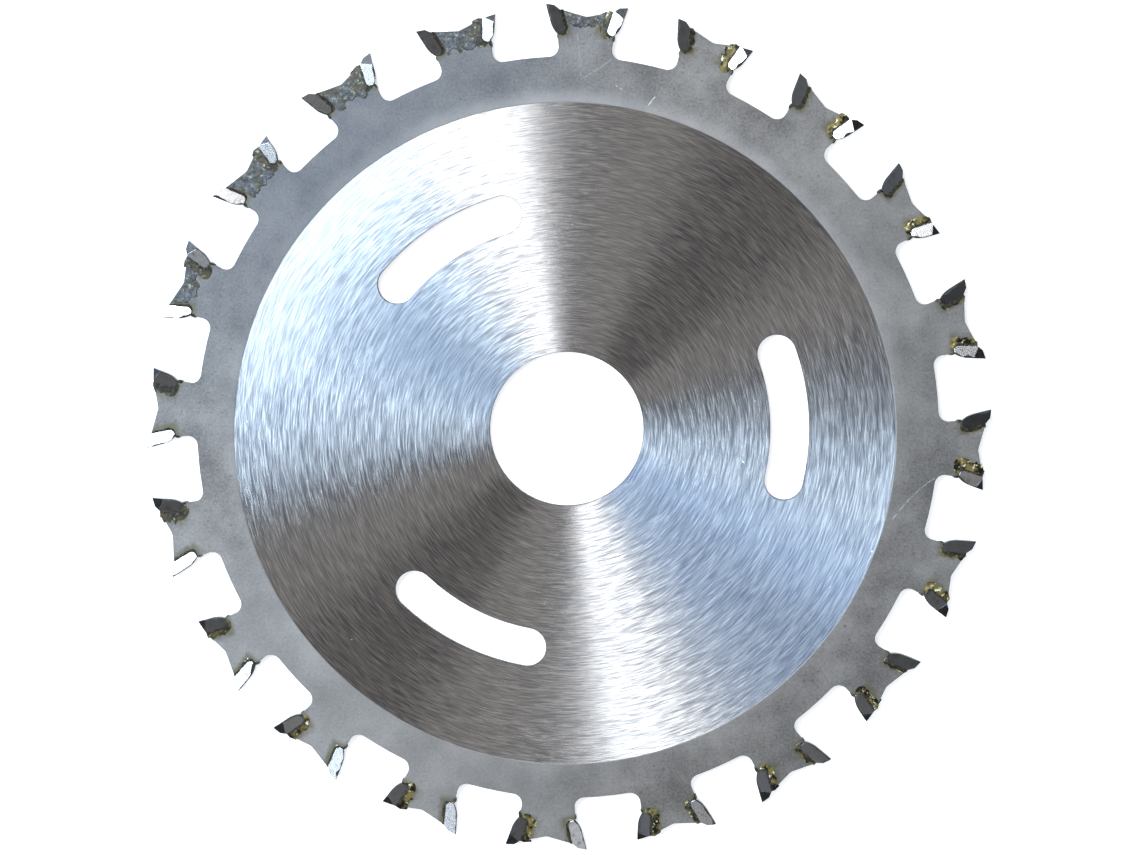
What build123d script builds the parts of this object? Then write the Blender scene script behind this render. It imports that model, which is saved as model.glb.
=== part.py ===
from build123d import *
from math import cos, hypot, radians, sin, sqrt, tan
import os

# Two-way carving disc for an angle grinder: a thin steel plate with twenty tooth
# blocks, and two carbide tips brazed into each block, one facing each way round.
# The disc lies flat, its axis is +Z, and the origin is the middle of the bore.
# Millimetres and degrees throughout.

# Plate
tip_circle_diameter = 110.0
bore_diameter = 20.0
plate_thickness = 1.2
gullet_depth = 6.8  # tip circle down to the gullet floor
gullet_radius = 1.3
block_count = 20
first_block_angle = 15.2
valley_depth = 1.66  # tip circle down to the middle of the block's V
valley_radius = 1.0
neck_flare = 7.7  # how far the neck's sides lean out from radial

# Ground middle of each face, a little lower than the blasted rim and off centre
ground_radius = 43.0
ground_depth = 0.03
ground_centre_offset = 0.8
ground_centre_angle = 247.0

# Expansion slots
slot_count = 3
slot_circle_radius = 28.95
slot_width = 5.0
slot_span = 33.0  # angle between the centres of the two round ends
first_slot_angle = 3.2

# Carbide tips
kerf = 1.8
tip_length = 4.1
tip_thickness = 1.65
tip_foot_thickness = 1.1
tip_back_radius = 0.55
tip_lean = 16.6  # the seat leans out from radial by this angle
point_offset = 5.35  # cutting point to the middle line of its block
rake_taper = 1.0
knee_height = 1.65  # the rake face is straight above this height
land_width = 1.15
land_clearance = 5.0
back_slope = 36.0
low_tip_drop = 0.5
side_clearance_back = 3.0
side_clearance_down = 1.5
bevel_run = 1.7  # how far the corner bevel reaches down the rake face
bevel_depth = 0.9  # how far it reaches across the kerf at the point

# Braze
braze_gap = 0.12
braze_collar_width = 0.7
braze_collar_height = 0.12
braze_collar_taper = 70.0
ledge_lip = 0.03  # the ledge runs this far past the tip's foot

# Every tip is placed by its cutting point. In a block's own plane x is radial and
# y points to the side that the tip stands on. (height, depth) are a tip's own
# co-ordinates: up the seat from the foot, and out from the seat to the rake face.
tip_circle_radius = tip_circle_diameter / 2
root_radius = tip_circle_radius - gullet_depth
valley_height = tip_circle_radius - valley_depth
pitch = 360 / block_count
ground_x = ground_centre_offset * cos(radians(ground_centre_angle))
ground_y = ground_centre_offset * sin(radians(ground_centre_angle))
lean_cos = cos(radians(tip_lean))
lean_sin = sin(radians(tip_lean))
point_x = sqrt(tip_circle_radius**2 - point_offset**2)
foot_x = point_x - tip_length * lean_cos + tip_thickness * lean_sin
foot_y = point_offset - tip_length * lean_sin - tip_thickness * lean_cos


def in_block(height, depth):
    """A tip's own (height, depth) as a point in its block's plane."""
    x = foot_x + height * lean_cos - depth * lean_sin
    y = foot_y + height * lean_sin + depth * lean_cos
    return (x, y)


def rake_depth(height):
    """Depth of the rake face at a height between the knee and the point."""
    return tip_thickness - (tip_length - height) * tan(radians(rake_taper))


def meet_seat(start, slope):
    """Where a line that falls back at this slope from start meets the tip's back."""
    fall = tan(radians(slope))
    rise = start[0] - foot_x - fall * (start[1] - foot_y)
    height = rise / (lean_cos - fall * lean_sin)
    return in_block(height, 0)


def step_back(start, distance, slope):
    """The point that lies this far back from start along a falling line."""
    return (start[0] - distance * tan(radians(slope)), start[1] - distance)


def block_plane(index, hand):
    """The middle plane of one block, seen from above (1) or from below (-1)."""
    angle = radians(first_block_angle + index * pitch)
    return Plane(origin=(0, 0, 0), x_dir=(cos(angle), sin(angle), 0), z_dir=(0, 0, hand))


os.makedirs("parts", exist_ok=True)
point = in_block(tip_length, tip_thickness)
land_end = step_back(point, land_width, land_clearance)
high_top = [point, land_end, meet_seat(land_end, back_slope)]
low_height = tip_length - low_tip_drop / lean_cos
low_point = in_block(low_height, rake_depth(low_height))
low_top = [low_point, meet_seat(low_point, land_clearance)]
horn_height = hypot(high_top[-1][0] - foot_x, high_top[-1][1] - foot_y)
horn = in_block(horn_height, -braze_gap)
arc_middle = tip_back_radius * (1 - cos(radians(45)))


def back_curve(gap, top):
    """The tip's foot and back as a J, this far outside the tip, from foot to top."""
    middle = arc_middle - gap * cos(radians(45))
    arc_start = in_block(-gap, tip_back_radius)
    arc_end = in_block(tip_back_radius, -gap)
    Line(in_block(-gap, tip_foot_thickness), arc_start)
    ThreePointArc(arc_start, in_block(middle, middle), arc_end)
    Line(arc_end, top)


def half_block():
    """One side of a steel block, from the bottom of its V down to inside the root."""
    ledge_corner = in_block(-braze_gap, tip_foot_thickness + ledge_lip)
    below_root = root_radius - gullet_radius
    neck_y = ledge_corner[1] - (ledge_corner[0] - below_root) * tan(radians(neck_flare))
    Line((valley_height, 0), horn)
    back_curve(braze_gap, horn)
    Polyline(
        in_block(-braze_gap, tip_foot_thickness),
        ledge_corner,
        (below_root, neck_y),
        (below_root, 0),
    )


def at_radius(radius):
    """A test that picks the corners which lie on a circle about the axis."""
    return lambda corner: abs(hypot(corner.X, corner.Y) - radius) < 0.01


# Steel plate
with BuildSketch() as block_profile:
    with BuildLine():
        half_block()
        mirror(about=Plane.XZ)
    make_face()

with BuildPart() as steel_plate:
    with BuildSketch() as plate_outline:
        Circle(root_radius)
        with PolarLocations(0, block_count, start_angle=first_block_angle):
            add(block_profile.sketch)
        fillet(plate_outline.vertices().filter_by(at_radius(root_radius)), gullet_radius)
        fillet(plate_outline.vertices().filter_by(at_radius(valley_height)), valley_radius)
        Circle(bore_diameter / 2, mode=Mode.SUBTRACT)
        for index in range(slot_count):
            start = first_slot_angle + index * 360 / slot_count - slot_span / 2
            with BuildLine() as slot_line:
                CenterArc((0, 0), slot_circle_radius, start, slot_span)
            SlotArc(slot_line.edge(), slot_width, mode=Mode.SUBTRACT)
    extrude(amount=plate_thickness / 2, both=True)
    for side in (-1, 1):
        with BuildSketch(Plane.XY.offset(side * plate_thickness / 2)):
            with Locations((ground_x, ground_y)):
                Circle(ground_radius)
        extrude(amount=-side * ground_depth, mode=Mode.SUBTRACT)
steel_plate.part.label = "steel_plate"
export_step(steel_plate.part, "parts/steel_plate.step")


# Carbide tips
def side_plane(plane, side):
    """Ground side face: widest at the cutting point, narrower behind and below it."""
    back = tan(radians(side_clearance_back))
    down = tan(radians(side_clearance_down))
    slope_x = down * lean_cos - back * lean_sin
    slope_y = down * lean_sin + back * lean_cos
    edge = Vector(*point, side * kerf / 2)
    origin = plane.from_local_coords(edge)
    outside = plane.from_local_coords(edge + Vector(-slope_x, -slope_y, side))
    return Plane(origin=origin, z_dir=outside - origin)


def bevel_plane(plane):
    """Corner bevel across the side that faces away from the tip's own plane."""
    on_rake = Vector(*in_block(tip_length - bevel_run, tip_thickness), -kerf / 2)
    on_back = Vector(*high_top[-1], -kerf / 2)
    at_point = Vector(*point, bevel_depth - kerf / 2)
    normal = (at_point - on_rake).cross(on_back - on_rake)
    origin = plane.from_local_coords(on_rake)
    return Plane(origin=origin, z_dir=plane.from_local_coords(on_rake + normal) - origin)


def carbide_tip(plane, top, label):
    """One tip, closed by the given top, ground on both sides and bevelled."""
    knee = Vector(*in_block(knee_height, rake_depth(knee_height)))
    with BuildPart() as tip:
        with BuildSketch(plane):
            with BuildLine():
                back_curve(0, top[-1])
                Polyline(*reversed(top), knee)
                foot = in_block(0, tip_foot_thickness)
                TangentArc(knee, foot, tangent=knee - Vector(*top[0]))
            make_face()
        extrude(amount=kerf / 2, both=True)
        for side in (-1, 1):
            split(bisect_by=side_plane(plane, side), keep=Keep.BOTTOM)
        split(bisect_by=bevel_plane(plane), keep=Keep.BOTTOM)
    tip.part.label = label
    export_step(tip.part, f"parts/{label}.step")


for index in range(block_count):
    number = f"{index + 1:02d}"
    carbide_tip(block_plane(index, 1), high_top, f"tip_ccw_{number}")
    cw_top = low_top if index % 2 else high_top
    carbide_tip(block_plane(index, -1), cw_top, f"tip_cw_{number}")


# Braze: a film between each tip and its seat, and a collar on each face of the plate
def braze_joint(plane):
    """The braze of one tip."""
    spread = braze_gap + braze_collar_width
    inward = (valley_height - horn[0]) * -lean_sin + (0 - horn[1]) * lean_cos
    share = -braze_collar_width / inward
    collar_top = (horn[0] + share * (valley_height - horn[0]), horn[1] * (1 - share))
    film_top = in_block(horn_height, 0)
    with BuildPart() as joint:
        with BuildSketch(plane):
            with BuildLine():
                back_curve(braze_gap, horn)
                Line(horn, film_top)
                back_curve(0, film_top)
                Line(in_block(0, tip_foot_thickness), in_block(-braze_gap, tip_foot_thickness))
            make_face()
        extrude(amount=plate_thickness / 2, both=True)
        with BuildSketch(plane.offset(plate_thickness / 2)):
            with BuildLine():
                back_curve(spread, collar_top)
                Polyline(
                    collar_top,
                    horn,
                    film_top,
                    in_block(horn_height, tip_foot_thickness),
                    in_block(-spread, tip_foot_thickness),
                )
            make_face()
        extrude(amount=braze_collar_height, taper=braze_collar_taper)
        mirror(about=plane)
        with BuildSketch(plane):
            with BuildLine():
                back_curve(0, film_top)
                Polyline(
                    film_top,
                    in_block(horn_height + 1, 0),
                    in_block(horn_height + 1, tip_thickness),
                    in_block(0, tip_foot_thickness),
                )
            make_face()
        extrude(amount=kerf, both=True, mode=Mode.SUBTRACT)
    return joint.part


for hand, label in ((1, "braze_ccw"), (-1, "braze_cw")):
    with BuildPart() as braze:
        for index in range(block_count):
            add(braze_joint(block_plane(index, hand)))
    braze.part.label = label
    export_step(braze.part, f"parts/{label}.step")
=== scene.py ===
from math import cos, pi, radians, sin, sqrt, tan
from random import Random

import bmesh
import bpy
from mathutils import Matrix, Vector, noise
from mathutils.geometry import tessellate_polygon


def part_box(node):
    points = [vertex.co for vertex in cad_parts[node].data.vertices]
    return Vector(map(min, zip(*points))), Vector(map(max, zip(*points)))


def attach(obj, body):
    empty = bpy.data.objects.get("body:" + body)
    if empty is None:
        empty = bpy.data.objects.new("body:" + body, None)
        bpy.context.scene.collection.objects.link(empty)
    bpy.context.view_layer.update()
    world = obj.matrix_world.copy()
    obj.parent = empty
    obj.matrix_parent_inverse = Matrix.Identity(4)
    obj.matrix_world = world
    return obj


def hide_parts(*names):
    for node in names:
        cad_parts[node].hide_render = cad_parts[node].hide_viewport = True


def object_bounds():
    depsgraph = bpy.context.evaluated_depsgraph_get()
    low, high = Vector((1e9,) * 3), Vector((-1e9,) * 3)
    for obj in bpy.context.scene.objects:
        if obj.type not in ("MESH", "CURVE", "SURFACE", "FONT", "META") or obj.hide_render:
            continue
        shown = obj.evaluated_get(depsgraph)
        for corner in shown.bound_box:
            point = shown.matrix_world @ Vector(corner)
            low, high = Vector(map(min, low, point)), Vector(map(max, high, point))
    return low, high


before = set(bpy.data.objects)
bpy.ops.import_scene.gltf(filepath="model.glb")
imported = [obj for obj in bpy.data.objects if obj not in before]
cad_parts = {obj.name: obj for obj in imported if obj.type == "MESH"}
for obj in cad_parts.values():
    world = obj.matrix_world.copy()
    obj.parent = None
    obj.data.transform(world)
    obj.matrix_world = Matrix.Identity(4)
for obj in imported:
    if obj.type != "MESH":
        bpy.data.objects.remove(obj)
CAD_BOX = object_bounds()
MM = 0.001

# ---------------------------------------------------------------- the disc's own sizes
BLOCKS = 20
PITCH = radians(360 / BLOCKS)
FIRST_BLOCK = radians(15.2)
PLATE_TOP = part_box("steel_plate")[1].z
EDGE_BREAK = 0.07 * MM
EDGE_TURNS = (0, 35, 90)  # how a broken edge turns from the face to the wall, in degrees
GROUND_CENTRE = Vector((0.8 * cos(radians(247)), 0.8 * sin(radians(247)))) * MM
GROUND_RADIUS = 43 * MM
GROUND_DEPTH = 0.03 * MM
GROUND_SLOPE = 0.09 * MM  # width of the step at the edge of the ground middle

# A tip stands in its block's frame: x radial, y towards the side that the tip is on.
POINT = Vector((sqrt(55.0**2 - 5.35**2), 5.35)) * MM
TIP_LEAN = radians(16.6)
TIP_LENGTH = 4.1 * MM
TIP_THICKNESS = 1.65 * MM
FOOT_THICKNESS = 1.1 * MM
BACK_RADIUS = 0.55 * MM
SEAT_TOP = 2.94 * MM
BRAZE_GAP = 0.12 * MM
VALLEY = 53.35 * MM  # axis to the bottom of a block's V
SEAT_HEIGHT = 54.1 * MM  # axis to the top of a seat, along the block's middle line
# Blocks whose outer end the braze has run right over, and how far down it came
CRUSTED_BLOCKS = {4: 0.15, 5: 0.75, 6: 0.85, 7: 1.0, 8: 0.45}
UP_SEAT = Vector((cos(TIP_LEAN), sin(TIP_LEAN)))
FROM_SEAT = Vector((-sin(TIP_LEAN), cos(TIP_LEAN)))
FOOT = POINT - UP_SEAT * TIP_LENGTH - FROM_SEAT * TIP_THICKNESS
SEAT_RUN = FOOT_THICKNESS - BACK_RADIUS + BACK_RADIUS * pi / 2 + SEAT_TOP - BACK_RADIUS

# Handling scratches on the rim: start, end, bow (all mm) and strength.
SCRATCHES = (
    ((42.3, -11.6), (47.6, -6.3), 0.33, 0.28),
    ((11.4, 42.9), (10.6, 41.9), 0.0, 0.8),
    ((1.4, 51.0), (1.9, 45.2), 0.1, 0.09),
    ((2.1, 45.4), (5.8, 47.8), -0.1, 0.12),
    ((6.4, 44.4), (7.2, 43.9), 0.0, 0.35),
)

CAMERA_AZIMUTH = 49.5
CAMERA_TILT = 4.0
CEILING = 0.4  # height of the soft boxes above the disc, in metres


# ---------------------------------------------------------------- camera, floor and light
def look_from(azimuth, off_axis, distance):
    """A point at this distance, off the +Z axis by an angle, towards an azimuth."""
    a, t = radians(azimuth), radians(off_axis)
    return Vector((sin(t) * cos(a), sin(t) * sin(a), cos(t))) * distance


def aim(obj, place, target, up):
    """Puts obj at place with its -Z pointing at target and its Y as near up as can be."""
    back = (place - target).normalized()
    right = up.cross(back).normalized()
    turned = Matrix((right, back.cross(right), back)).transposed()
    obj.matrix_world = Matrix.Translation(place) @ turned.to_4x4()


def make_camera():
    data = bpy.data.cameras.new("camera")
    data.sensor_width = 36
    data.lens = 128.8
    camera = bpy.data.objects.new("camera", data)
    bpy.context.scene.collection.objects.link(camera)
    target = Vector((0.43, 0.15, 0)) * MM
    aim(camera, target + look_from(CAMERA_AZIMUTH, CAMERA_TILT, 0.53), target, Vector((0, 1, 0)))
    bpy.context.scene.camera = camera


def make_panel(name, shape, turn, along, across, radiance, colour):
    """A soft box in a low ceiling, a rectangle or an ellipse. along and across are its two
    ranges, as shares of the ceiling's height, from the point that the flat plate mirrors
    into the camera, on axes turned by an angle in degrees."""
    out = Vector((cos(radians(turn)), sin(radians(turn)), 0))
    left = Vector((-out.y, out.x, 0))
    data = bpy.data.lights.new(name, "AREA")
    data.shape = shape
    data.size = (across[1] - across[0]) * CEILING
    data.size_y = (along[1] - along[0]) * CEILING
    area = data.size * data.size_y * (pi / 4 if shape == "ELLIPSE" else 1)
    data.energy = radiance * pi * area
    data.color = colour
    panel = bpy.data.objects.new(name, data)
    panel.visible_camera = False
    bpy.context.scene.collection.objects.link(panel)
    mirrored = look_from(CAMERA_AZIMUTH + 180, CAMERA_TILT, CEILING)
    place = mirrored + (out * sum(along) / 2 + left * sum(across) / 2) * CEILING
    aim(panel, place, place - Vector((0, 0, 1)), out)


def make_lights():
    make_panel("white_panel", "RECTANGLE", 98.0, (0.24, 1.6), (0.0, 0.13), 9.0, (1.0, 1.0, 1.0))
    make_panel("pale_panel", "RECTANGLE", 98.0, (0.2, 1.2), (0.13, 0.26), 6.4, (0.62, 0.81, 1.0))
    make_panel("white_strip", "RECTANGLE", 277.0, (0.1, 1.6), (0.0, 0.06), 6.5, (0.93, 0.97, 1.0))
    make_panel("blue_panel", "ELLIPSE", 158.0, (0.43, 0.89), (-0.48, 0.48), 15.5, (0.6, 0.79, 1.0))
    make_panel("small_panel", "ELLIPSE", 342.0, (0.45, 0.82), (-0.22, 0.2), 8.0, (0.58, 0.78, 1.0))


def make_world():
    """Dim and slightly warm overhead, pale towards the horizon."""
    world = bpy.data.worlds.new("studio")
    world.use_nodes = True
    tree = world.node_tree
    nodes, links = tree.nodes, tree.links
    nodes.clear()
    direction = nodes.new("ShaderNodeTexCoord")
    split = nodes.new("ShaderNodeSeparateXYZ")
    ramp = nodes.new("ShaderNodeValToRGB")
    ramp.color_ramp.elements[0].position = 0.0
    ramp.color_ramp.elements[0].color = (1.2, 1.2, 1.2, 1)
    ramp.color_ramp.elements[1].position = 0.35
    ramp.color_ramp.elements[1].color = (0.34, 0.322, 0.308, 1)
    background = nodes.new("ShaderNodeBackground")
    output = nodes.new("ShaderNodeOutputWorld")
    links.new(direction.outputs["Generated"], split.inputs[0])
    links.new(split.outputs["Z"], ramp.inputs[0])
    links.new(ramp.outputs[0], background.inputs["Color"])
    links.new(background.outputs[0], output.inputs[0])
    bpy.context.scene.world = world


# ---------------------------------------------------------------- material helpers
class Shader:
    """A material's node tree, with short calls for the nodes that the materials share."""

    def __init__(self, name):
        self.material = bpy.data.materials.new(name)
        self.material.use_nodes = True
        self.nodes = self.material.node_tree.nodes
        self.links = self.material.node_tree.links
        self.surface = self.nodes["Principled BSDF"]
        coordinates = self.add("ShaderNodeTexCoord").outputs["Object"]
        self.place = self.vector("SCALE", coordinates, scale=1 / MM)

    def add(self, kind):
        return self.nodes.new(kind)

    def put(self, socket, value):
        """Links an output, or sets a plain value."""
        if isinstance(value, bpy.types.NodeSocket):
            self.links.new(value, socket)
        else:
            socket.default_value = value

    def vector(self, operation, first, second=None, scale=None):
        node = self.add("ShaderNodeVectorMath")
        node.operation = operation
        self.put(node.inputs[0], first)
        if second is not None:
            self.put(node.inputs[1], second)
        if scale is not None:
            self.put(node.inputs["Scale"], scale)
        return node.outputs["Value" if operation in ("LENGTH", "DOT_PRODUCT") else "Vector"]

    def math(self, operation, first, second=0.0, third=0.0, clamp=False):
        node = self.add("ShaderNodeMath")
        node.operation = operation
        node.use_clamp = clamp
        for socket, value in zip(node.inputs, (first, second, third)):
            self.put(socket, value)
        return node.outputs[0]

    def split(self, vector):
        node = self.add("ShaderNodeSeparateXYZ")
        self.put(node.inputs[0], vector)
        return node.outputs

    def join(self, x, y, z):
        node = self.add("ShaderNodeCombineXYZ")
        for socket, value in zip(node.inputs, (x, y, z)):
            self.put(socket, value)
        return node.outputs[0]

    def noise(self, vector, scale=1.0, detail=2.0, rough=0.5):
        node = self.add("ShaderNodeTexNoise")
        self.put(node.inputs["Vector"], vector)
        node.inputs["Scale"].default_value = scale
        node.inputs["Detail"].default_value = detail
        node.inputs["Roughness"].default_value = rough
        return node.outputs["Fac"]

    def cells(self, vector, scale):
        """Distance to the nearest of some scattered points."""
        node = self.add("ShaderNodeTexVoronoi")
        self.put(node.inputs["Vector"], vector)
        node.inputs["Scale"].default_value = scale
        return node.outputs["Distance"]

    def spread(self, value, low, high, to_low=0.0, to_high=1.0, smooth=False):
        """Maps low..high on to to_low..to_high, held at both ends."""
        node = self.add("ShaderNodeMapRange")
        node.interpolation_type = "SMOOTHSTEP" if smooth else "LINEAR"
        for socket, item in zip(node.inputs, (value, low, high, to_low, to_high)):
            self.put(socket, item)
        return node.outputs[0]

    def mix(self, share, first, second, blend="MIX"):
        node = self.add("ShaderNodeMix")
        node.data_type = "RGBA"
        node.blend_type = blend
        self.put(node.inputs[0], share)
        for socket, value in ((node.inputs[6], first), (node.inputs[7], second)):
            self.put(socket, value if isinstance(value, bpy.types.NodeSocket) else (*value, 1))
        return node.outputs[2]

    def distance(self, centre=(0, 0)):
        """How far a spot is from a centre in the plane of the disc, in mm."""
        away = self.vector("SUBTRACT", self.place, (*centre, 0))
        return self.vector("LENGTH", self.vector("MULTIPLY", away, (1, 1, 0)))

    def toward(self, bearing):
        """1 on the side of the disc at this bearing, in degrees, and -1 on the far side."""
        way = (cos(radians(bearing)), sin(radians(bearing)), 0)
        return self.vector("DOT_PRODUCT", self.vector("NORMALIZE", self.place), way)

    def bump(self, height, depth, normal=None):
        """A bump whose height of 1 stands for depth, in metres."""
        node = self.add("ShaderNodeBump")
        node.inputs["Strength"].default_value = 1.0
        node.inputs["Distance"].default_value = depth
        self.put(node.inputs["Height"], height)
        if normal is not None:
            self.put(node.inputs["Normal"], normal)
        return node.outputs[0]

    def finish(self, **inputs):
        """Sets the surface's inputs by name, with _ for a space."""
        for name, value in inputs.items():
            self.put(self.surface.inputs[name.replace("_", " ")], value)
        return self.material


def strokes(shader, centre, width, length, seed):
    """Noise drawn out round a centre: short brush strokes that follow its circles."""
    away = shader.vector("SUBTRACT", shader.place, (*centre, 0))
    x, y, _ = shader.split(away)
    radius = shader.vector("LENGTH", shader.join(x, y, 0.0))
    across = shader.math("DIVIDE", radius, width)
    drawn = shader.join(across, shader.math("DIVIDE", x, length), shader.math("DIVIDE", y, length))
    return shader.noise(shader.vector("ADD", drawn, (seed, 0, seed)), detail=1.5, rough=0.6)


def painted_room_reflections(shader, colour):
    """Painted reflections on the steel: it is toned by bearing, in degrees, and by distance from the axis,
    in mm.
    The painted light and shade stand in for lights and dark corners of the room that the soft boxes leave
    out."""
    # Painted reflection: a dark ray through the axis along bearings 50 and 230, with painted light just
    # beside it.
    axis = shader.math("ABSOLUTE", shader.toward(50))
    colour = shader.mix(shader.spread(axis, 0.965, 1.0, 0.0, 0.34), colour, (0.1, 0.095, 0.09))
    beside = shader.math("MULTIPLY", shader.spread(axis, 0.8, 0.9), shader.spread(axis, 0.985, 0.94))
    colour = shader.mix(shader.math("MULTIPLY", beside, 0.2), colour, (0.9, 0.89, 0.87))
    radius = shader.distance()
    # Painted reflection: darker and bluer near the axis towards bearing 150.
    wedge = shader.spread(shader.toward(150), 0.92, 1.0, 0.0, 0.55)
    inner = shader.math("MULTIPLY", shader.spread(radius, 37.0, 24.0), wedge)
    colour = shader.mix(inner, colour, (0.12, 0.15, 0.2))
    # Painted reflection: paler out towards the rim at bearing 140.
    band = shader.spread(shader.toward(140), 0.8, 0.97, 0.0, 0.32)
    outer = shader.math("MULTIPLY", shader.spread(radius, 33.0, 40.0), band)
    colour = shader.mix(outer, colour, (0.68, 0.65, 0.61))
    # Painted reflection: bluer towards bearing 319.
    return shader.mix(shader.spread(shader.toward(319), 0.9, 0.99, 0.0, 0.32), colour, (0.13, 0.21, 0.36))


def ground_steel():
    """Circular ground finish: fine criss-cross strokes, and a fan of light that is partly real reflection
    and partly painted reflection.
    """
    s = Shader("ground_steel")
    middle = GROUND_CENTRE / MM
    fine = strokes(s, middle, 0.08, 2.0, 3.0)
    crossing = strokes(s, (middle.x + 1.1, middle.y - 0.6), 0.09, 2.4, 17.0)
    broad = strokes(s, (middle.x - 0.8, middle.y + 1.0), 0.22, 5.0, 31.0)
    lines = s.math("ADD", s.math("MULTIPLY", fine, 0.4), s.math("MULTIPLY", crossing, 0.4))
    lines = s.math("ADD", lines, s.math("MULTIPLY", broad, 0.2))
    colour = s.mix(s.spread(lines, 0.42, 0.6), (0.19, 0.195, 0.215), (0.57, 0.57, 0.57))
    # Painted reflections of the room, set by bearing and distance from the axis.
    colour = painted_room_reflections(s, colour)
    specks = s.spread(s.cells(s.vector("MULTIPLY", s.place, (1.0, 1.6, 1.0)), 0.14), 0.022, 0.014)
    colour = s.mix(specks, colour, (0.95, 0.95, 0.95))
    x, y, _ = s.split(s.place)
    around = s.vector("NORMALIZE", s.join(s.math("MULTIPLY", y, -1.0), x, 0.0))
    outward = s.vector("NORMALIZE", s.join(x, y, 0.0))
    lean = s.math("MULTIPLY", s.math("SUBTRACT", lines, 0.5), 0.5)
    grain = s.vector("ADD", around, s.vector("SCALE", outward, scale=lean))
    return s.finish(
        Base_Color=colour, Metallic=1.0, Roughness=0.25, Anisotropic=1.0, Anisotropic_Rotation=0.25,
        Tangent=s.vector("NORMALIZE", grain), Normal=s.bump(lines, 0.004 * MM),
    )


def from_foot(shader):
    """Height up the seat and depth out from it for the nearer tip of any block, and the
    distance to the side of the block's middle: positive for the tips that face +angle. In mm."""
    x, y, _ = shader.split(shader.place)
    radius = shader.distance()
    turn = shader.math("SUBTRACT", shader.math("ARCTAN2", y, x), FIRST_BLOCK)
    turn = shader.math("WRAP", turn, PITCH / 2, -PITCH / 2)
    side = shader.math("MULTIPLY", radius, shader.math("SINE", turn))
    radial = shader.math("MULTIPLY", radius, shader.math("COSINE", turn))
    radial = shader.math("SUBTRACT", radial, FOOT.x / MM)
    across = shader.math("SUBTRACT", shader.math("ABSOLUTE", side), FOOT.y / MM)
    spot = shader.join(radial, across, 0.0)
    height = shader.vector("DOT_PRODUCT", spot, (*UP_SEAT, 0))
    depth = shader.vector("DOT_PRODUCT", spot, (*FROM_SEAT, 0))
    return height, depth, side


def scratch(shader, start, end, bow, width):
    """1 along a fine line between two points in mm, bowed sideways by a distance."""
    start, run = Vector((*start, 0)), Vector((*end, 0)) - Vector((*start, 0))
    away = shader.vector("SUBTRACT", shader.place, tuple(start))
    along = shader.vector("DOT_PRODUCT", away, tuple(run))
    share = shader.math("DIVIDE", along, run.length_squared, clamp=True)
    bend = shader.math("MULTIPLY", share, shader.math("SUBTRACT", 1.0, share))
    sideways = Vector((-run.y, run.x, 0)).normalized() * 4 * bow
    line = shader.vector("ADD", shader.vector("SCALE", tuple(run), scale=share),
                         shader.vector("SCALE", tuple(sideways), scale=bend))
    gap = shader.vector("SUBTRACT", away, line)
    x, y, _ = shader.split(gap)
    return shader.spread(shader.vector("LENGTH", shader.join(x, y, 0.0)), width, width * 0.3)


def blasted_steel():
    """The matt rim outside the ground middle: painted reflections that make it darker and bluer towards one
    bearing and paler towards two others, stains by the tips' seats, a lighter halo beside the ground middle
    and a few handling scratches."""
    s = Shader("blasted_steel")
    grit = s.noise(s.place, scale=3.2, detail=4, rough=0.7)
    cloud = s.noise(s.place, scale=0.16, detail=4, rough=0.6)
    pits = s.spread(s.noise(s.place, scale=1.7, detail=2), 0.64, 0.72)
    tone = s.math("ADD", s.math("MULTIPLY", grit, 0.45), s.math("MULTIPLY", cloud, 0.55))
    colour = s.mix(s.spread(tone, 0.38, 0.62), (0.122, 0.112, 0.104), (0.25, 0.23, 0.212))
    colour = s.mix(s.math("MULTIPLY", pits, 0.45), colour, (0.07, 0.07, 0.075))
    # Painted reflection: darker and bluer towards bearing 130.
    colour = s.mix(s.spread(s.toward(130), 0.55, 1.0, 0.0, 0.55), colour, (0.075, 0.083, 0.1))
    # Painted reflection: paler towards bearings 237 and 25.
    painted_pale = s.math("MAXIMUM", s.spread(s.toward(237), 0.7, 0.95, 0.0, 0.3, smooth=True),
                   s.spread(s.toward(25), 0.85, 1.0, 0.0, 0.18))
    colour = s.mix(painted_pale, colour, (0.38, 0.36, 0.34))

    height, depth, side = from_foot(s)
    ragged = s.noise(s.place, scale=1.4, detail=4, rough=0.65)
    reach = s.spread(side, -0.5, 0.5, -2.1, -1.1)
    near = s.math("DIVIDE", depth, reach)
    near = s.math("ADD", near, s.math("MULTIPLY", s.math("SUBTRACT", ragged, 0.5), 1.1))
    stain = s.spread(near, 1.0, 0.35, smooth=True)
    stain = s.math("MULTIPLY", stain, s.spread(height, -1.1, -0.2, smooth=True))
    colour = s.mix(s.math("MULTIPLY", stain, 0.7), colour, (0.1, 0.09, 0.05))

    edge = GROUND_RADIUS / MM
    halo = s.spread(s.distance(GROUND_CENTRE / MM), edge + 2.4, edge, smooth=True)
    halo = s.math("MULTIPLY", halo, s.spread(s.toward(65), 0.3, 0.95, 0.08, 0.42))
    colour = s.mix(halo, colour, (0.38, 0.36, 0.34))

    marks = 0.0
    broken = s.spread(s.noise(s.place, scale=2.5, detail=2), 0.35, 0.6)
    for start, end, bow, strength in SCRATCHES:
        mark = s.math("MULTIPLY", scratch(s, start, end, bow, 0.11), strength)
        marks = s.math("MAXIMUM", marks, mark)
    colour = s.mix(s.math("MULTIPLY", marks, broken), colour, (0.8, 0.8, 0.78))

    return s.finish(Base_Color=colour, Metallic=1.0, Roughness=0.5, Normal=s.bump(grit, 0.012 * MM))


def cut_steel():
    """Laser-cut edges."""
    s = Shader("cut_steel")
    lines = s.noise(s.vector("MULTIPLY", s.place, (6.0, 6.0, 0.6)), detail=3)
    colour = s.mix(s.spread(lines, 0.35, 0.65), (0.02, 0.019, 0.018), (0.09, 0.085, 0.08))
    return s.finish(Base_Color=colour, Metallic=1.0, Roughness=0.45, Normal=s.bump(lines, 0.02 * MM))


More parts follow.
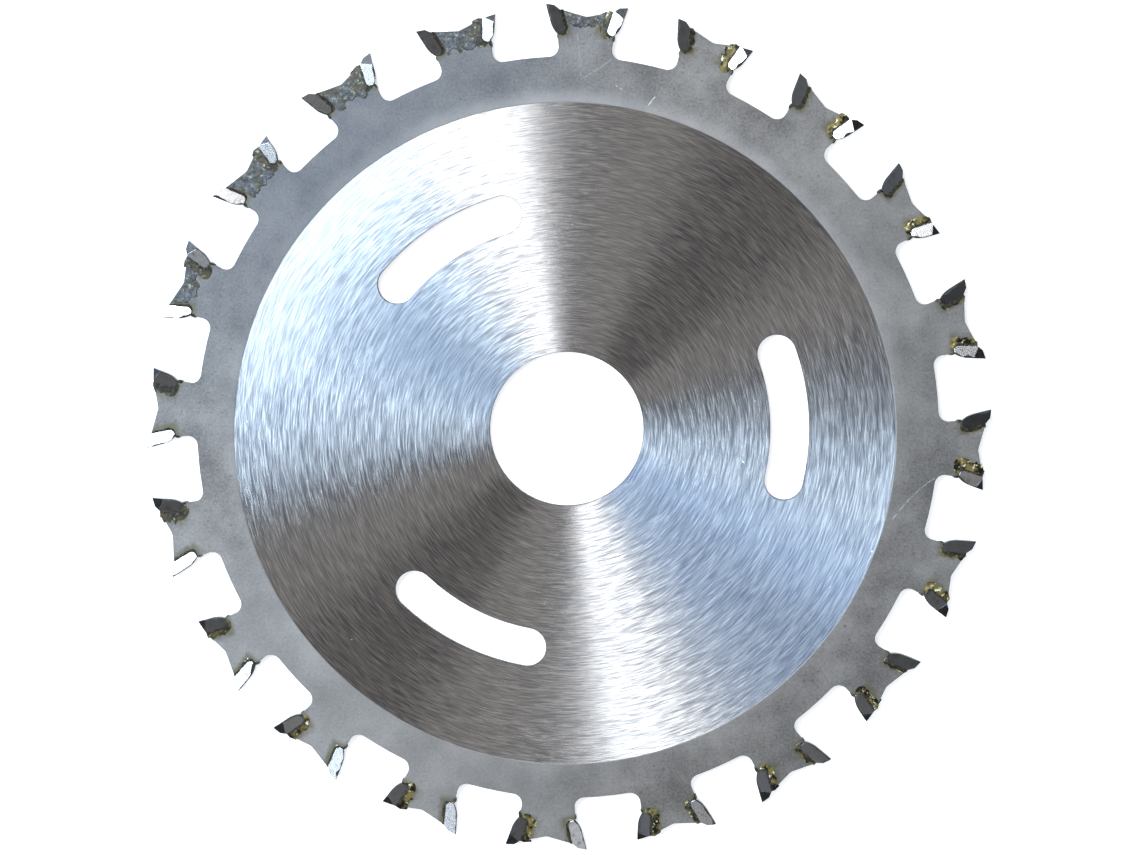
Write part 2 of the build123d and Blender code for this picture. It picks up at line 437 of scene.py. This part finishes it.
def floor_paint():
    """Backlit white: it glows a little, so that the disc's shadow stays faint."""
    s = Shader("floor_paint")
    grain = s.noise(s.place, scale=0.05, detail=3)
    colour = s.mix(grain, (0.9, 0.9, 0.9), (0.93, 0.93, 0.93))
    return s.finish(
        Base_Color=colour, Roughness=0.9, Specular_IOR_Level=0.1,
        Emission_Color=(1.0, 1.0, 1.0, 1.0), Emission_Strength=0.5,
    )


# ---------------------------------------------------------------- mesh helpers
def new_object(name, bm, materials):
    mesh = bpy.data.meshes.new(name)
    bm.to_mesh(mesh)
    bm.free()
    for material in materials:
        mesh.materials.append(material)
    obj = bpy.data.objects.new(name, mesh)
    bpy.context.scene.collection.objects.link(obj)
    return obj


def make_floor():
    bm = bmesh.new()
    bmesh.ops.create_circle(bm, cap_ends=True, segments=96, radius=4.0)
    floor = new_object("floor", bm, [floor_paint()])
    floor.location.z = CAD_BOX[0].z


# ---------------------------------------------------------------- steel plate
def plate_outlines():
    """The closed outlines of the plate's top, metal on the left of each: rim, bore, slots."""
    bm = bmesh.new()
    bm.from_mesh(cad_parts["steel_plate"].data)
    bmesh.ops.remove_doubles(bm, verts=bm.verts, dist=0.001 * MM)
    follows = {}
    for edge in bm.edges:
        if min(v.co.z for v in edge.verts) < PLATE_TOP / 2:
            continue
        walls = [f for f in edge.link_faces if abs(f.normal.z) < 0.5]
        if len(walls) == 1 and min(v.co.z for v in walls[0].verts) < 0:
            first, second = edge.verts
            follows.setdefault(first, []).append(second)
            follows.setdefault(second, []).append(first)
    loops = []
    while follows:
        start = vert = next(iter(follows))
        loop = []
        while vert in follows:
            loop.append(vert.co.copy())
            ways = follows.pop(vert)
            vert = next((way for way in ways if way in follows), start)
        loops.append(loop)
    bm.free()
    loops.sort(key=lambda loop: -max(p.xy.length for p in loop))
    return [with_metal_left(loop, rim=loop is loops[0]) for loop in loops]


def with_metal_left(loop, rim):
    area = sum(p.x * q.y - q.x * p.y for p, q in zip(loop, loop[1:] + loop[:1]))
    return loop if (area > 0) == rim else loop[::-1]


def inset(loop, distance):
    """The outline moved into the metal by a distance, with its corners kept sharp."""
    moved = []
    for before, here, after in zip(loop[-1:] + loop[:-1], loop, loop[1:] + loop[:1]):
        first, second = (here - before).xy.normalized(), (after - here).xy.normalized()
        left = Vector((-first.y - second.y, first.x + second.x))
        share = 1 / max(0.35, 1 + first.dot(second))
        moved.append((here.x + left.x * share * distance, here.y + left.y * share * distance))
    return moved


def ring_of(bm, points, height):
    return [bm.verts.new((x, y, height)) for x, y in points]


def crease(bm, angle):
    """Smooth faces with a hard edge wherever two meet at more than this angle, or one is flat."""
    bm.normal_update()
    for edge in bm.edges:
        flat = any(not face.smooth for face in edge.link_faces)
        edge.smooth = not flat and len(edge.link_faces) == 2 and edge.calc_face_angle() < angle
    for face in bm.faces:
        face.smooth = True


def hold_inside(bm, low, high):
    """Moves every point that has strayed out of a box back on to its side."""
    for vert in bm.verts:
        vert.co = [min(max(place, a), b) for place, a, b in zip(vert.co, low, high)]


def join_rings(bm, first, second, material):
    """Smooth quads between two closed rings with as many points each."""
    count = len(first)
    for i in range(count):
        j = (i + 1) % count
        face = bm.faces.new((first[i], second[i], second[j], first[j]))
        face.material_index = material
        face.smooth = True


def fill_between(bm, outer, holes, material):
    """A flat face with holes, made of triangles."""
    rings = [outer, *holes]
    flat = [vert for ring in rings for vert in ring]
    for corners in tessellate_polygon([[v.co for v in ring] for ring in rings]):
        face = bm.faces.new([flat[i] for i in corners])
        face.material_index = material


def make_plate():
    """The plate with its edges broken, and a shallow step round its ground middle."""
    ground, blasted, cut = range(3)
    rim, *holes = plate_outlines()
    steps = 360
    bm = bmesh.new()
    edges = []
    for loop in (rim, *holes):
        rings = []
        for side in (1, -1):
            half = []
            for turn in EDGE_TURNS:
                t = radians(turn)
                height = loop[0].z - EDGE_BREAK * (1 - cos(t))
                half.append(ring_of(bm, inset(loop, EDGE_BREAK * (1 - sin(t))), side * height))
            rings += half if side == 1 else half[::-1]
        for number, (first, second) in enumerate(zip(rings, rings[1:])):
            join_rings(bm, first, second, cut if number == 2 or loop is not rim else blasted)
        edges.append(rings)
    turns = [2 * pi * i / steps for i in range(steps)]
    low, high = (GROUND_RADIUS, PLATE_TOP - GROUND_DEPTH), (GROUND_RADIUS + GROUND_SLOPE, PLATE_TOP)
    for side in (1, -1):
        step = []
        for radius, height in (low, high):
            circle = [(GROUND_CENTRE.x + radius * cos(a), GROUND_CENTRE.y + radius * sin(a)) for a in turns]
            step.append(ring_of(bm, circle, side * height))
        join_rings(bm, *step, blasted)
        end = 0 if side == 1 else -1
        fill_between(bm, edges[0][end], [step[1]], blasted)
        fill_between(bm, step[0], [rings[end] for rings in edges[1:]], ground)
    bmesh.ops.recalc_face_normals(bm, faces=bm.faces)
    crease(bm, radians(40))
    plate = new_object("disc_plate", bm, [ground_steel(), blasted_steel(), cut_steel()])
    settle(plate, "blade_steel", "steel_plate")


def settle(piece, slot, *nodes):
    """Hands a finished piece to the frame in place of CAD nodes."""
    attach(piece, "root")
    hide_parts(*nodes)


# ---------------------------------------------------------------- carbide tips
LEVEL = 0.9  # a face whose normal's z is beyond this looks straight up or down
STEEP = 0.6  # and one whose normal's z is under this is a wall


def ground_carbide():
    """Ground side faces: faint marks from the wheel and a few brown smears. Painted reflections make them
    bright on one side of the disc and dark on the other, and they shade as if ground a little hollow."""
    s = Shader("ground_carbide")
    marks = s.noise(s.vector("MULTIPLY", s.place, (7.0, 2.0, 7.0)), detail=3, rough=0.6)
    mottle = s.noise(s.place, scale=1.6, detail=4, rough=0.7)
    smear = s.spread(s.noise(s.place, scale=1.1, detail=3), 0.56, 0.7)
    tone = s.math("ADD", s.math("MULTIPLY", marks, 0.6), s.math("MULTIPLY", mottle, 0.4))
    height, depth, side = from_foot(s)
    # Painted reflections: each hand of tip brightened and darkened by bearing.
    ccw = s.math("MULTIPLY", s.spread(s.toward(225), -0.1, 0.85, 0.17, 0.95),
                 s.spread(s.toward(345), 0.5, 0.9, 1.0, 0.25))
    cw = s.math("MULTIPLY", s.spread(s.toward(76), -0.1, 0.5, 0.2, 0.8),
                s.spread(s.toward(232), 0.6, 0.95, 1.0, 0.4))
    painted_facet_brightness = s.mix(s.spread(side, -0.01, 0.01), s.join(cw, cw, cw), s.join(ccw, ccw, ccw))
    colour = s.mix(s.spread(tone, 0.38, 0.6), (0.82, 0.82, 0.83), (1.0, 1.0, 1.0))
    colour = s.mix(s.math("MULTIPLY", smear, 0.5), colour, (0.3, 0.28, 0.22))
    colour = s.mix(1.0, colour, painted_facet_brightness, blend="MULTIPLY")
    back = s.math("MULTIPLY", depth, tan(radians(3.0)))
    down = s.math("MULTIPLY", height, tan(radians(1.5)))
    normal = s.bump(tone, 0.0005 * MM, s.bump(s.math("ADD", back, down), MM))
    return s.finish(Base_Color=colour, Metallic=1.0, Roughness=0.22, Normal=normal)


def bevelled_carbide():
    """Corner bevels, darker than the sides, with wheel lines along them, and a painted reflection that
    makes them paler on one side of the disc."""
    s = Shader("bevelled_carbide")
    marks = s.noise(s.vector("MULTIPLY", s.place, (2.5, 9.0, 9.0)), detail=3, rough=0.6)
    colour = s.mix(s.spread(marks, 0.38, 0.62), (0.012, 0.012, 0.013), (0.06, 0.062, 0.068))
    painted_pale_colour = s.mix(s.spread(marks, 0.38, 0.62), (0.13, 0.14, 0.16), (0.32, 0.34, 0.37))
    # Painted reflection: paler towards bearing 115.
    colour = s.mix(s.spread(s.toward(115), 0.4, 0.85, smooth=True), colour, painted_pale_colour)
    return s.finish(Base_Color=colour, Metallic=1.0, Roughness=0.36, Normal=s.bump(marks, 0.015 * MM))


def raw_carbide():
    """Edges and faces that the wheel has not cleaned: dark sintered skin."""
    s = Shader("raw_carbide")
    grit = s.noise(s.place, scale=7.0, detail=4, rough=0.7)
    colour = s.mix(s.spread(grit, 0.35, 0.65), (0.008, 0.008, 0.008), (0.06, 0.057, 0.05))
    return s.finish(Base_Color=colour, Metallic=0.5, Roughness=0.55, Normal=s.bump(grit, 0.02 * MM))


def block_frame(index, hand):
    """From a block's own frame to the disc's. hand is 1 for the side that faces +angle."""
    turned = Matrix.Rotation(FIRST_BLOCK + index * PITCH, 4, "Z")
    return turned @ Matrix.Diagonal((1, hand, 1, 1))


def make_tip(name, index, hand, materials):
    """The CAD tip with a rubbed rim along its rake edges and every other edge just broken. Its
    materials are the ground sides, the raw skin and the corner bevels, in that order."""
    random = Random(f"{name} edges")
    seed = Vector((random.random(), random.random(), random.random())) * 100
    bm = bmesh.new()
    bm.from_mesh(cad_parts[name].data)
    bmesh.ops.remove_doubles(bm, verts=bm.verts, dist=0.001 * MM)
    bmesh.ops.dissolve_limit(bm, angle_limit=radians(1.0), verts=bm.verts, edges=bm.edges)
    frame_turn = block_frame(index, hand)
    forward = (frame_turn.to_3x3() @ Vector((*FROM_SEAT, 0))).normalized()

    def rim_edges():
        found = []
        for edge in bm.edges:
            if len(edge.link_faces) == 2:
                side, other = sorted(edge.link_faces, key=lambda f: -abs(f.normal.z))
                rakes = other.normal.dot(forward) > 0.3 and abs(other.normal.z) < STEEP
                if abs(side.normal.z) > LEVEL and rakes:
                    found.append(edge)
        return found

    for face in bm.faces:
        if 0.7 < abs(face.normal.z) < 0.985:
            face.material_index = 2
    for edge in rim_edges():
        cuts = int(edge.calc_length() / (0.22 * MM))
        if cuts:
            bmesh.ops.subdivide_edges(bm, edges=[edge], cuts=cuts)
    width = random.uniform(0.09, 0.15) * MM
    rim = bmesh.ops.bevel(
        bm, geom=rim_edges(), offset=width, offset_type="OFFSET", segments=1,
        affect="EDGES", material=1, clamp_overlap=True,
    )
    strips = [f for f in rim["faces"] if f.material_index == 1]
    inner = {v for f in strips for v in f.verts for g in v.link_faces if abs(g.normal.z) > LEVEL}
    for vert in inner:
        wave = noise.noise(vert.co / (0.9 * MM) + seed)
        vert.co -= forward * max(0.0, wave + 0.12) * 0.42 * MM
    bm.normal_update()
    sharp = [e for e in bm.edges if len(e.link_faces) == 2 and e.calc_face_angle() > radians(25)]
    bmesh.ops.bevel(
        bm, geom=sharp, offset=0.025 * MM, offset_type="OFFSET", segments=2, profile=0.6,
        affect="EDGES", material=-1, clamp_overlap=True,
    )
    bmesh.ops.recalc_face_normals(bm, faces=bm.faces)
    for face in bm.faces:
        wall = abs(face.normal.z) < STEEP
        face.smooth = wall or face.calc_area() < 0.05 * MM**2
        if face.material_index == 0 and wall and face.normal.dot(forward) < 0.1:
            face.material_index = 1
    corners = [v.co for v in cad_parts[name].data.vertices]
    hold_inside(bm, [min(axis) for axis in zip(*corners)], [max(axis) for axis in zip(*corners)])
    crease(bm, radians(30))
    tip = new_object("carbide_" + name, bm, materials)
    settle(tip, "carbide", name)


def make_tips():
    materials = [ground_carbide(), raw_carbide(), bevelled_carbide()]
    for index in range(BLOCKS):
        for hand, way in ((1, "ccw"), (-1, "cw")):
            make_tip(f"tip_{way}_{index + 1:02d}", index, hand, materials)


# ---------------------------------------------------------------- braze
def braze_metal():
    """Run braze: dull olive and brown with bright brassy spots, sooted on one side of the disc."""
    s = Shader("braze_metal")
    lumps = s.noise(s.place, scale=2.2, detail=4, rough=0.7)
    stain = s.noise(s.place, scale=1.0, detail=3, rough=0.6)
    base = s.mix(s.spread(stain, 0.42, 0.58), (0.012, 0.01, 0.006), (0.2, 0.155, 0.055))
    spots = s.noise(s.vector("ADD", s.place, (5.0, 9.0, 2.0)), scale=1.5, detail=3, rough=0.65)
    soot = s.spread(s.toward(145), -0.1, 0.75, smooth=True)
    base = s.mix(s.math("MULTIPLY", soot, 0.8), base, (0.045, 0.042, 0.038))
    glint = s.math("MULTIPLY", s.spread(spots, 0.57, 0.65), s.spread(lumps, 0.43, 0.53))
    glint = s.math("MULTIPLY", glint, s.spread(soot, 0.0, 1.0, 1.0, 0.3))
    colour = s.mix(glint, base, (0.95, 0.86, 0.55))
    rough = s.spread(glint, 0.0, 1.0, 0.5, 0.35)
    return s.finish(Base_Color=colour, Metallic=0.9, Roughness=rough, Normal=s.bump(lumps, 0.045 * MM))


def flux_glass():
    """Burnt flux: black and a little glossy, with brown streaks."""
    s = Shader("flux_glass")
    lumps = s.noise(s.place, scale=3.0, detail=4, rough=0.7)
    colour = s.mix(s.spread(lumps, 0.46, 0.62), (0.003, 0.003, 0.002), (0.065, 0.05, 0.026))
    normal = s.bump(lumps, 0.05 * MM)
    return s.finish(Base_Color=colour, Roughness=0.4, Specular_IOR_Level=0.3, Normal=normal)


def flux_crust():
    """Residue in greys and browns, with silvery ridges."""
    s = Shader("flux_crust")
    lumps = s.noise(s.place, scale=2.4, detail=4, rough=0.75)
    tint = s.noise(s.place, scale=0.8, detail=3)
    dull = s.mix(s.spread(tint, 0.4, 0.6), (0.1, 0.103, 0.112), (0.078, 0.07, 0.045))
    colour = s.mix(s.spread(lumps, 0.38, 0.5), (0.035, 0.036, 0.04), dull)
    colour = s.mix(s.spread(lumps, 0.58, 0.66), colour, (0.32, 0.32, 0.31))
    return s.finish(Base_Color=colour, Metallic=0.7, Roughness=0.5, Normal=s.bump(lumps, 0.07 * MM))


def seat_point(along, out):
    """A point on the J round a tip's foot and back, and moved out from it, in the block's frame."""
    straight = FOOT_THICKNESS - BACK_RADIUS
    arc = BACK_RADIUS * pi / 2
    if along < straight:
        height, depth = -out, FOOT_THICKNESS - along
    elif along < straight + arc:
        turn = (along - straight) / BACK_RADIUS
        height = BACK_RADIUS - (BACK_RADIUS + out) * cos(turn)
        depth = BACK_RADIUS - (BACK_RADIUS + out) * sin(turn)
    else:
        height, depth = BACK_RADIUS + along - straight - arc, -out
    return FOOT + UP_SEAT * height + FROM_SEAT * depth


def add_shell(bm, rows, turn, material, dark=()):
    """A closed skin through rows of points; every row is a closed section, and the ends are
    capped. The columns in dark get the burnt flux instead."""
    rings = [[bm.verts.new(turn @ point) for point in row] for row in rows]
    for first, second in zip(rings, rings[1:]):
        count = len(bm.faces)
        join_rings(bm, first, second, material)
        bm.faces.ensure_lookup_table()
        for column in dark:
            bm.faces[count + column].material_index = 1
    for ring in (rings[0], rings[-1]):
        face = bm.faces.new(ring)
        face.material_index = material
        face.smooth = True


def add_collar(bm, turn, side, reach, burnt, seed):
    """Braze that has run out on to one face of the plate, thick at the tip and ragged outside.
    It is covered in burnt flux for a distance from the tip."""
    steps, columns = 30, 12
    rows = []
    for i in range(steps + 1):
        share = i / steps
        along = (0.1 + 0.9 * share) * SEAT_RUN
        ragged = 1 + 0.45 * noise.noise(Vector((along / (0.45 * MM), 0, 0)) + seed)
        ends = min(1.0, 0.35 + share * 4, 0.55 + (1 - share) * 3)
        width = reach * ragged * ends
        row = []
        for j in range(columns + 1):
            out = -0.05 * MM + (width + 0.05 * MM) * j / columns
            spot = seat_point(along, out)
            lump = noise.noise(Vector((*spot, 0)) / (0.35 * MM) + seed)
            fall = max(0.0, 1 - max(out, 0) / width)
            height = (0.17 * fall**1.3 + 0.06 * lump * fall**0.5) * MM * ends
            height = -0.02 * MM if j == columns else max(height, 0.002 * MM)
            row.append(Vector((*spot, side * (PLATE_TOP + height))))
        for out in (width, -0.05 * MM):
            row.append(Vector((*seat_point(along, out), side * (PLATE_TOP - 0.04 * MM))))
        rows.append(row)
    add_shell(bm, rows, turn, 0, dark=range(round(burnt / reach * columns)))


def add_film(bm, turn):
    """The braze between the tip and its seat."""
    rows = []
    steps = 24
    deep = PLATE_TOP - 0.01 * MM
    for i in range(steps + 1):
        along = SEAT_RUN * i / steps
        inner, outer = seat_point(along, 0.0), seat_point(along, BRAZE_GAP)
        corners = ((inner, deep), (outer, deep), (outer, -deep), (inner, -deep))
        rows.append([Vector((*spot, height)) for spot, height in corners])
    add_shell(bm, rows, turn, 0)


def side_of_block(radial, hand):
    """Where the braze gap starts on one side of a block, at a distance from the axis."""
    rise = max(0.0, radial - FOOT.x)
    seat = FOOT.y + rise * tan(TIP_LEAN) - BRAZE_GAP - 0.25 * MM
    return hand * min(seat, 3.0 * MM + rise * tan(TIP_LEAN))


def smooth_v(lean):
    """The V between the horns: 0 in the middle and 1 at either horn, rounded at the bottom."""
    soft = 0.16
    return (sqrt(lean * lean + soft * soft) - soft) / (sqrt(1 + soft * soft) - soft)


def add_crust(bm, index, side, cover, seed):
    """Braze and flux that have run over the outer end of a block and set with a raised lip."""
    turn = block_frame(index, 1)
    steps, columns = 44, 22
    rows = []
    for i in range(steps + 1):
        share = i / steps
        lean = 2 * share - 1
        coarse = noise.noise(Vector((share * 5, 0, 0)) + seed)
        fine = noise.noise(Vector((share * 14, 3, 0)) + seed)
        low = FOOT.x + (1.1 - 2.0 * cover + 0.75 * (coarse + 0.5 * fine)) * MM
        high = VALLEY + (SEAT_HEIGHT - VALLEY) * smooth_v(lean) - 0.04 * MM
        row = []
        for j in range(columns + 1):
            radial = low + (high - low) * j / columns
            y = side_of_block(radial, -1) * (1 - share) + side_of_block(radial, 1) * share
            spot = Vector((radial, y, 0))
            lip = max(0.0, 1 - abs((radial - low) / MM - 0.16) / 0.16)
            lump = noise.noise(spot / (0.28 * MM) + seed) + 0.6 * noise.noise(spot / (0.12 * MM) + seed)
            height = (0.035 + 0.07 * lip + 0.035 * lump) * MM
            height = -0.02 * MM if j in (0, columns) or i in (0, steps) else max(height, 0.004 * MM)
            row.append(Vector((radial, y, side * (PLATE_TOP + height))))
        for corner in (row[-1], row[0]):
            row.append(Vector((corner.x, corner.y, side * (PLATE_TOP - 0.05 * MM))))
        rows.append(row)
    add_shell(bm, rows, turn, 2)


def add_bead(bm, turn, centre, size, seed, material):
    """A lump of burnt flux."""
    made = bmesh.ops.create_icosphere(bm, subdivisions=3, radius=1.0)
    for vert in made["verts"]:
        swell = 1 + 0.3 * noise.noise(vert.co * 1.4 + seed)
        vert.co = turn @ (centre + Vector([vert.co[k] * size[k] * swell for k in range(3)]))
        for face in vert.link_faces:
            face.material_index = material
            face.smooth = True


def new_seed(random):
    """Somewhere new in the noise."""
    return Vector([random.uniform(0, 100) for _ in range(3)])


def make_braze():
    """Both rows of braze joints. On the ccw side they are wider where the block points to +X."""
    materials = [braze_metal(), flux_glass(), flux_crust()]
    for hand, way, reach, burnt in ((1, "ccw", 0.56, 0.36), (-1, "cw", 1.25, 0.28)):
        random = Random(f"braze {way}")
        bm = bmesh.new()
        for index in range(BLOCKS):
            turn = block_frame(index, hand)
            add_film(bm, turn)
            swing = 1 + 0.4 * cos(FIRST_BLOCK + index * PITCH) if way == "ccw" else 1
            for side in (1, -1):
                seed = new_seed(random)
                wide = reach * swing * random.uniform(0.8, 1.2)
                add_collar(bm, turn, side, wide * MM, burnt * swing * MM, seed)
            seed = new_seed(random)
            foot = FOOT - UP_SEAT * 0.3 * MM + FROM_SEAT * (FOOT_THICKNESS - 0.02 * MM)
            size = Vector((0.44, 0.26, 0.68)) * random.uniform(0.8, 1.15) * MM
            add_bead(bm, turn, Vector((*foot, 0)), size, seed, 1)
            drop = foot - Vector((0.75, 0.2)) * MM
            size = Vector((0.34, 0.1, 0.62)) * random.uniform(0.6, 1.1) * MM
            add_bead(bm, turn, Vector((*drop, 0)), size, seed, 2)
        if way == "ccw":
            for index, cover in CRUSTED_BLOCKS.items():
                seed = new_seed(random)
                add_crust(bm, index, 1, cover, seed)
                add_crust(bm, (index * 7 + 3) % BLOCKS, -1, cover * 0.8, seed)
        hold_inside(bm, *CAD_BOX)
        bmesh.ops.recalc_face_normals(bm, faces=bm.faces)
        braze = new_object(f"braze_joints_{way}", bm, materials)
        settle(braze, "braze", f"braze_{way}")


make_camera()
make_lights()
make_world()
make_floor()
bpy.context.scene.view_settings.view_transform = "Standard"

make_plate()
make_tips()
make_braze()
